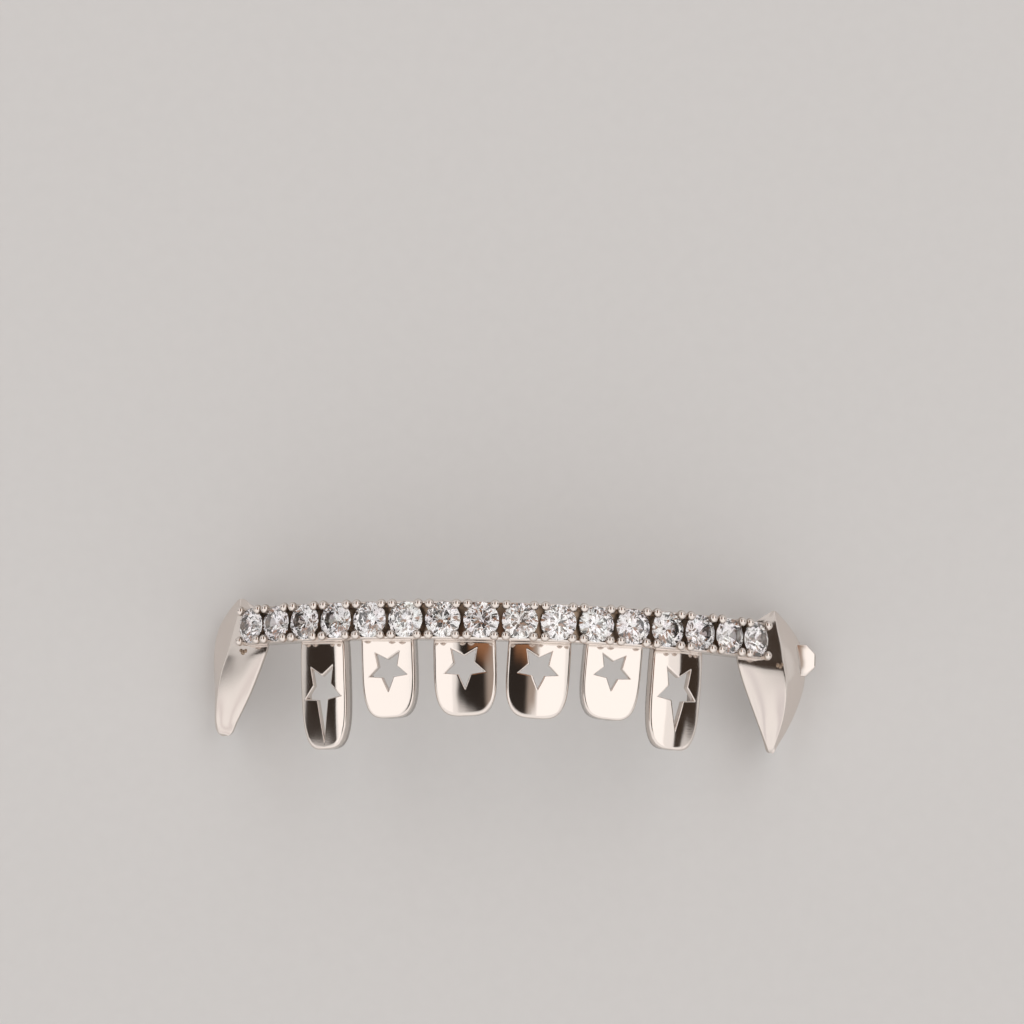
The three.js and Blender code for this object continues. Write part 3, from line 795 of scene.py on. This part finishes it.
# %% Drops of solder
# Columns: where the drop lies to the right and up, its radius.
SOLDER_DROPS = {
    "left_fang": [(-19.25, -1.8, 0.2), (-19.05, -1.7, 0.15), (-19.42, -1.66, 0.14)],
    "right_fang": [(20.3, -1.6, 0.17), (20.5, -1.68, 0.15), (20.62, -1.52, 0.14)],
}
DROP_FLATNESS = 0.6
RAY_HEIGHT = 10


def solder(drops, fang):
    bm = bmesh.new()
    for right, up, radius in drops:
        above = TO_FRAME @ Vector((right, up, RAY_HEIGHT))
        hit, spot, _, _ = fang.ray_cast(above, Vector((0, 0, -1)))
        if hit:
            squash = Matrix.Diagonal((1, 1, DROP_FLATNESS, 1))
            place = Matrix.Translation(TO_FRAME.inverted() @ spot) @ squash
            bmesh.ops.create_icosphere(bm, subdivisions=3, radius=radius, matrix=place)
    mark_shading_and_tarnish(bm, lambda vert: 1)
    return bm


for name, drops in SOLDER_DROPS.items():
    drop_mesh = solder(drops, fangs[name])
    finish_piece(drop_mesh, name + "_solder", bar_metal, "metal_frame", sharp_from=60)

# %% [markdown]
# ## The lug
# The right fang carries a small flat lug on its outer side, filed to a rounded octagon. It is a short
# cylinder with eight sides and a bevel. Three rays find the slope of the fang where it stands, and the
# lug is cut to that slope, a little way into the wall, so that nothing of it shows in the hollow behind.

# %% File the lug
LUG_RADIUS = 1.3
LUG_THICKNESS = 0.8
LUG_SINK = 0.3
LUG_DROP = 1.0
LUG_DEPTH_SHARE = 0.66
LUG_ROOT = 0.2
LUG_BEVEL = 0.12
RAY_START = 10
# Where the three rays start: how far up from the lug's middle, and how far out as a share of its
# thickness.
LUG_RAYS = ((0.8, 0.5), (-0.8, 0.5), (0, -0.5))


def lug(fang):
    bm = bmesh.new()
    turn = Matrix.Rotation(pi / 8, 4, "Z")
    size = {"radius1": LUG_RADIUS, "radius2": LUG_RADIUS, "depth": LUG_THICKNESS}
    bmesh.ops.create_cone(bm, cap_ends=True, segments=8, matrix=turn, **size)
    bmesh.ops.bevel(
        bm, geom=bm.edges[:], offset=LUG_BEVEL, affect="EDGES", segments=3, profile=0.5, material=-1
    )
    depth = FANG_FRONT + FANG_DEPTH * LUG_DEPTH_SHARE
    middle = Vector((FANG_START + FANG_REACH - LUG_SINK, -LUG_DROP, -depth))
    bmesh.ops.translate(bm, verts=bm.verts, vec=middle)
    skin = []
    for up, front in LUG_RAYS:
        outside = TO_FRAME @ (middle + Vector((RAY_START, up, front * LUG_THICKNESS)))
        _, spot, _, _ = fang.ray_cast(outside, Vector((-1, 0, 0)))
        skin.append(TO_FRAME.inverted() @ spot)
    inwards = (skin[1] - skin[0]).cross(skin[2] - skin[0]).normalized()
    if inwards.x > 0:
        inwards.negate()
    root = skin[0] + inwards * LUG_ROOT
    whole = bm.verts[:] + bm.edges[:] + bm.faces[:]
    bmesh.ops.bisect_plane(bm, geom=whole, plane_co=root, plane_no=inwards, clear_outer=True)
    bmesh.ops.holes_fill(bm, edges=[edge for edge in bm.edges if edge.is_boundary])
    return bm


lug_shape = lug(fangs["right_fang"])
finish_piece(lug_shape, "fang_lug", fang_metal, "metal_frame", sharp_from=35)

# %% [markdown]
# ## The stones
# Each stone is a round brilliant: a flat table, a crown of kites and triangles, a thin girdle and a
# pointed pavilion. The corners of such a cut lie on a few circles, so the stone is the tightest skin
# round those circles, and no face has to be placed by hand. The middle circles lie on the planes of the
# kites, which makes each kite one flat facet. Each stone is turned by another angle, as a setter leaves
# them, so that no two sparkle alike.

# %% Cut a brilliant
KITE_SHARE = 0.42
LOWER_SHARE = 0.23


def brilliant():
    bm = bmesh.new()

    def circle(count, radius, height, offset=0.0):
        place = Matrix.Translation((0, 0, height)) @ Matrix.Rotation(offset, 4, "Z")
        bmesh.ops.create_circle(bm, segments=count, radius=radius, matrix=place)

    slope = CROWN_HEIGHT / (STONE_RADIUS - TABLE_RADIUS)
    kite = TABLE_RADIUS + KITE_SHARE * (STONE_RADIUS - TABLE_RADIUS)
    lower = LOWER_SHARE * STONE_RADIUS
    circle(8, TABLE_RADIUS, HALF_GIRDLE + CROWN_HEIGHT)
    circle(8, kite / cos(pi / 8), HALF_GIRDLE + slope * (STONE_RADIUS - kite), pi / 8)
    circle(16, STONE_RADIUS, HALF_GIRDLE)
    circle(16, STONE_RADIUS, -HALF_GIRDLE)
    circle(8, lower / cos(pi / 8), -HALF_GIRDLE - PAVILION_DEPTH * (1 - LOWER_SHARE), pi / 8)
    bmesh.ops.create_vert(bm, co=(0, 0, -HALF_GIRDLE - PAVILION_DEPTH))
    bmesh.ops.delete(bm, geom=bm.edges[:], context="EDGES_FACES")
    bmesh.ops.convex_hull(bm, input=bm.verts[:])
    bmesh.ops.dissolve_limit(bm, angle_limit=radians(0.5), verts=bm.verts, edges=bm.edges)
    return bm


# %% The clear stone
STONE_IOR = 2.15
STONE_CLEARNESS = 0.97
STONE_WHITE = (1, 0.985, 1, 1)
FLECK_SCALE = 2200
FLECK_SHARE = 0.07


def clear_stone():
    """Almost clear, with a trace of haze and faint coloured flecks, which stand for the stone's fire."""
    material = bpy.data.materials.new("clear_cut_stone")
    material.use_nodes = True
    tree = material.node_tree
    shader = tree.nodes["Principled BSDF"]
    shader.inputs["Roughness"].default_value = 0.0
    shader.inputs["IOR"].default_value = STONE_IOR
    shader.inputs["Transmission Weight"].default_value = STONE_CLEARNESS
    place = add_node(tree, "ShaderNodeTexCoord")
    flecks = add_node(tree, "ShaderNodeTexVoronoi", in_Scale=FLECK_SCALE)
    tint = add_node(tree, "ShaderNodeMix", data_type="RGBA", in_0=FLECK_SHARE, in_6=STONE_WHITE)
    tree.links.new(place.outputs["Object"], flecks.inputs["Vector"])
    tree.links.new(flecks.outputs["Color"], tint.inputs[7])
    tree.links.new(tint.outputs[2], shader.inputs["Base Color"])
    return material


stone_material = clear_stone()
print("stone:", stone_material.name)

# %% Set a stone in every seat
SPIN_STEP = radians(137.5)
for i in range(STONE_COUNT):
    node = f"stone_{i + 1:02d}"
    cut = brilliant()
    spin = Matrix.Rotation(SPIN_STEP * i, 4, "Z")
    cut.transform(arch_place((i + 0.5) * STONE_PITCH - BAR_LENGTH / 2) @ spin)
    finish_piece(cut, "cut_" + node, stone_material, node, sharp_from=0)

# %% [markdown]
# ## Floor, light and camera
# The piece lies on a plain pale floor. Polished metal shows what stands around it, so what matters most
# here is what it can mirror. The light is built like a small photo table under a pale tent.

# %% The floor
FLOOR_HALF_WIDTH = 3
FLOOR_DARKER = (0.72, 0.715, 0.71, 1)
FLOOR_LIGHTER = (0.75, 0.745, 0.74, 1)
GRAIN_SCALE = 900


def pale_floor():
    bm = bmesh.new()
    bmesh.ops.create_grid(bm, x_segments=1, y_segments=1, size=FLOOR_HALF_WIDTH)
    mesh = bpy.data.meshes.new("floor")
    bm.to_mesh(mesh)
    bm.free()
    floor = bpy.data.objects.new("floor", mesh)
    bpy.context.scene.collection.objects.link(floor)
    material = bpy.data.materials.new("pale_floor")
    material.use_nodes = True
    tree = material.node_tree
    shader = tree.nodes["Principled BSDF"]
    shader.inputs["Roughness"].default_value = 0.75
    place = add_node(tree, "ShaderNodeTexCoord")
    grain = add_node(tree, "ShaderNodeTexNoise", in_Scale=GRAIN_SCALE, in_Detail=3)
    color = add_node(tree, "ShaderNodeMix", data_type="RGBA", in_6=FLOOR_DARKER, in_7=FLOOR_LIGHTER)
    tree.links.new(place.outputs["Object"], grain.inputs["Vector"])
    tree.links.new(grain.outputs["Fac"], color.inputs["Factor"])
    tree.links.new(color.outputs[2], shader.inputs["Base Color"])
    floor.data.materials.append(material)
    floor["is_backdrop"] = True


pale_floor()
print("floor:", 2 * FLOOR_HALF_WIDTH, "m wide")

# %% [markdown]
# The sky is a pale dome with cards hung in it: white ones for the bright faces, and black, brown and
# beige ones for the dark reflections. A card is a level rectangle overhead, given by four angles from
# straight up. Lamps alone would leave the metal flat and grey, because a mirror shows no light that it
# doesn't look at. One group tells how far a direction looks into one card.

# %% The group for one card
CARD_SOCKETS = ("Across", "Up", "Left", "Right", "Low", "High", "Softness")
CARD_SIDES = (("Across", "Left", 1), ("Across", "Right", -1), ("Up", "Low", 1), ("Up", "High", -1))


def card_group():
    group = bpy.data.node_groups.new("card", "ShaderNodeTree")
    for name in CARD_SOCKETS:
        group.interface.new_socket(name, in_out="INPUT", socket_type="NodeSocketFloat")
    group.interface.new_socket("Inside", in_out="OUTPUT", socket_type="NodeSocketFloat")
    inside = add_node(group, "NodeGroupInput")
    outside = add_node(group, "NodeGroupOutput")
    masks = []
    for value, edge, sign in CARD_SIDES:
        past = add_node(group, "ShaderNodeMath", operation="SUBTRACT")
        soft = add_node(group, "ShaderNodeMath", operation="DIVIDE")
        mask = add_node(group, "ShaderNodeMapRange", interpolation_type="SMOOTHSTEP", in_1=-sign, in_2=sign)
        group.links.new(inside.outputs[value], past.inputs[0])
        group.links.new(inside.outputs[edge], past.inputs[1])
        group.links.new(past.outputs[0], soft.inputs[0])
        group.links.new(inside.outputs["Softness"], soft.inputs[1])
        group.links.new(soft.outputs[0], mask.inputs["Value"])
        masks.append(mask.outputs["Result"])
    while len(masks) > 1:
        both = add_node(group, "ShaderNodeMath", operation="MULTIPLY")
        group.links.new(masks.pop(), both.inputs[0])
        group.links.new(masks.pop(), both.inputs[1])
        masks.insert(0, both.outputs[0])
    group.links.new(masks[0], outside.inputs["Inside"])
    return group


# %% The dome and its cards
PALE_DOME = (0.74, 0.72, 0.705)
# The tent hangs in soft folds, which bend the edges of the cards a little.
CLOTH_FOLDS = 0.16
FOLD_SCALE = 3
LOWEST_UP = 0.02
# Columns: degrees to the right and up the picture where the card starts and ends, softness, colour.
CARDS = {
    "front_card": (-82, 82, -84, -12, 0.08, (1.05, 1.02, 1.0)),
    "left_panel": (-50, -22, -45, 52, 0.03, (1.05, 1.02, 1.0)),
    "right_panel": (8, 50, -45, 52, 0.03, (1.05, 1.02, 1.0)),
    "beige_card": (-2, 12, -8, 70, 0.05, (0.42, 0.35, 0.3)),
    "camera_gap": (-24, 2, -8, 70, 0.05, (0.03, 0.024, 0.02)),
    "warm_card": (-13, 6, 8, 45, 0.06, (0.34, 0.16, 0.08)),
    "left_fold": (-72, -68, -75, -14, 0.2, (0.8, 0.73, 0.72)),
    "right_fold": (67, 71, -75, -14, 0.2, (0.76, 0.71, 0.72)),
    "left_flag": (-77, -50, -3, 50, 0.04, (0.04, 0.03, 0.024)),
    "right_flag": (50, 84, -4, 50, 0.04, (0.05, 0.035, 0.026)),
}


def studio_world():
    world = bpy.data.worlds.new("studio")
    bpy.context.scene.world = world
    world.use_nodes = True
    tree = world.node_tree
    background = tree.nodes["Background"]
    card = card_group()
    place = add_node(tree, "ShaderNodeTexCoord")
    split = add_node(tree, "ShaderNodeSeparateXYZ")
    height = add_node(tree, "ShaderNodeMath", operation="MAXIMUM", in_1=LOWEST_UP)
    across = add_node(tree, "ShaderNodeMath", operation="DIVIDE")
    up = add_node(tree, "ShaderNodeMath", operation="DIVIDE")
    folds = add_node(tree, "ShaderNodeTexNoise", in_Scale=FOLD_SCALE, in_Detail=1)
    centred = add_node(tree, "ShaderNodeVectorMath", operation="SUBTRACT", in_1=(0.5, 0.5, 0.5))
    hung = add_node(tree, "ShaderNodeVectorMath", operation="MULTIPLY_ADD", in_1=(CLOTH_FOLDS,) * 3)
    link = tree.links.new
    link(place.outputs["Generated"], folds.inputs["Vector"])
    link(folds.outputs["Color"], centred.inputs[0])
    link(centred.outputs[0], hung.inputs[0])
    link(place.outputs["Generated"], hung.inputs[2])
    link(hung.outputs[0], split.inputs[0])
    link(split.outputs["Z"], height.inputs[0])
    for side, result in (("X", across), ("Y", up)):
        link(split.outputs[side], result.inputs[0])
        link(height.outputs[0], result.inputs[1])
    sky = None
    for name, (left, right, low, high, softness, color) in CARDS.items():
        mask = add_node(tree, "ShaderNodeGroup", node_tree=card, label=name, in_Softness=softness)
        for socket, angle in (("Left", left), ("Right", right), ("Low", low), ("High", high)):
            mask.inputs[socket].default_value = tan(radians(angle))
        paint = add_node(tree, "ShaderNodeMix", data_type="RGBA", in_6=(*PALE_DOME, 1), in_7=(*color, 1))
        link(across.outputs[0], mask.inputs["Across"])
        link(up.outputs[0], mask.inputs["Up"])
        link(mask.outputs["Inside"], paint.inputs["Factor"])
        if sky:
            link(sky, paint.inputs[6])
        sky = paint.outputs[2]
    link(sky, background.inputs["Color"])


studio_world()
print("cards:", list(CARDS))

# %% [markdown]
# Two soft boxes over the white cards give the piece its soft shadow. Their energy is worked out from how
# bright they should look in the metal, because a lamp's power alone says little about that.

# %% Soft boxes
# Columns: degrees to the right and up the picture where the box starts and ends, brightness over that of
# the dome behind it, colour. Seen in the metal, a brightness of 1 is white.
SOFT_BOXES = {
    "left_box": (-46, -28, -14, 40, 0.22, (1, 0.98, 0.96)),
    "right_box": (13, 40, -14, 40, 0.25, (1, 0.98, 0.96)),
}
BOX_HEIGHT = 0.6

for name, (start, end, low, high, brightness, color) in SOFT_BOXES.items():
    reach = [tan(radians(angle)) * BOX_HEIGHT for angle in (start, end, low, high)]
    data = bpy.data.lights.new(name, "AREA")
    data.shape = "RECTANGLE"
    data.size, data.size_y = reach[1] - reach[0], reach[3] - reach[2]
    data.energy = brightness * pi * data.size * data.size_y
    data.color = color
    soft_box = bpy.data.objects.new(name, data)
    overhead = Vector(((reach[0] + reach[1]) / 2, (reach[2] + reach[3]) / 2, BOX_HEIGHT))
    soft_box.location = arch_middle + overhead
    bpy.context.scene.collection.objects.link(soft_box)
    print(name, "is", round(data.size, 2), "x", round(data.size_y, 2), "m")

# %% [markdown]
# The camera looks down on the piece at the angle of the photograph. Distance, scale and turn were fitted
# to the places of the beads there, and the lens follows from them, so the picture can be laid over the
# photograph.

# %% The camera, fitted to the places of the beads in the photograph
CAMERA_DISTANCE = 280
PIXELS_PER_MM = 13.9953
PICTURE_WIDTH = 1024
PITCH, YAW, ROLL = radians(-7.9526), radians(-1.4512), radians(-1.7203)
SHIFT = (-0.8195, -7.7182)

view_turn = Matrix.Rotation(ROLL, 3, "Z") @ Matrix.Rotation(PITCH, 3, "X") @ Matrix.Rotation(YAW, 3, "Y")
camera_data = bpy.data.cameras.new("camera")
camera_data.sensor_width = 36
camera_data.lens = PIXELS_PER_MM * CAMERA_DISTANCE / PICTURE_WIDTH * camera_data.sensor_width
camera_data.clip_start, camera_data.clip_end = 0.01, 10
camera = bpy.data.objects.new("camera", camera_data)
back = view_turn.transposed()
stand = back @ Vector((-SHIFT[0], -SHIFT[1], CAMERA_DISTANCE)) + Vector((0, 0, BEAD_LIFT))
camera.matrix_world = Matrix.Translation(TO_FRAME @ stand) @ back.to_4x4()
bpy.context.scene.collection.objects.link(camera)
bpy.context.scene.camera = camera
print("lens in mm:", round(camera_data.lens, 1))

# %% Look of the picture
bpy.context.scene.view_settings.view_transform = "Standard"

# %% Print the sizes and finish
low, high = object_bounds()
print("visual box in mm:", [round(x * 1000, 2) for x in high - low])
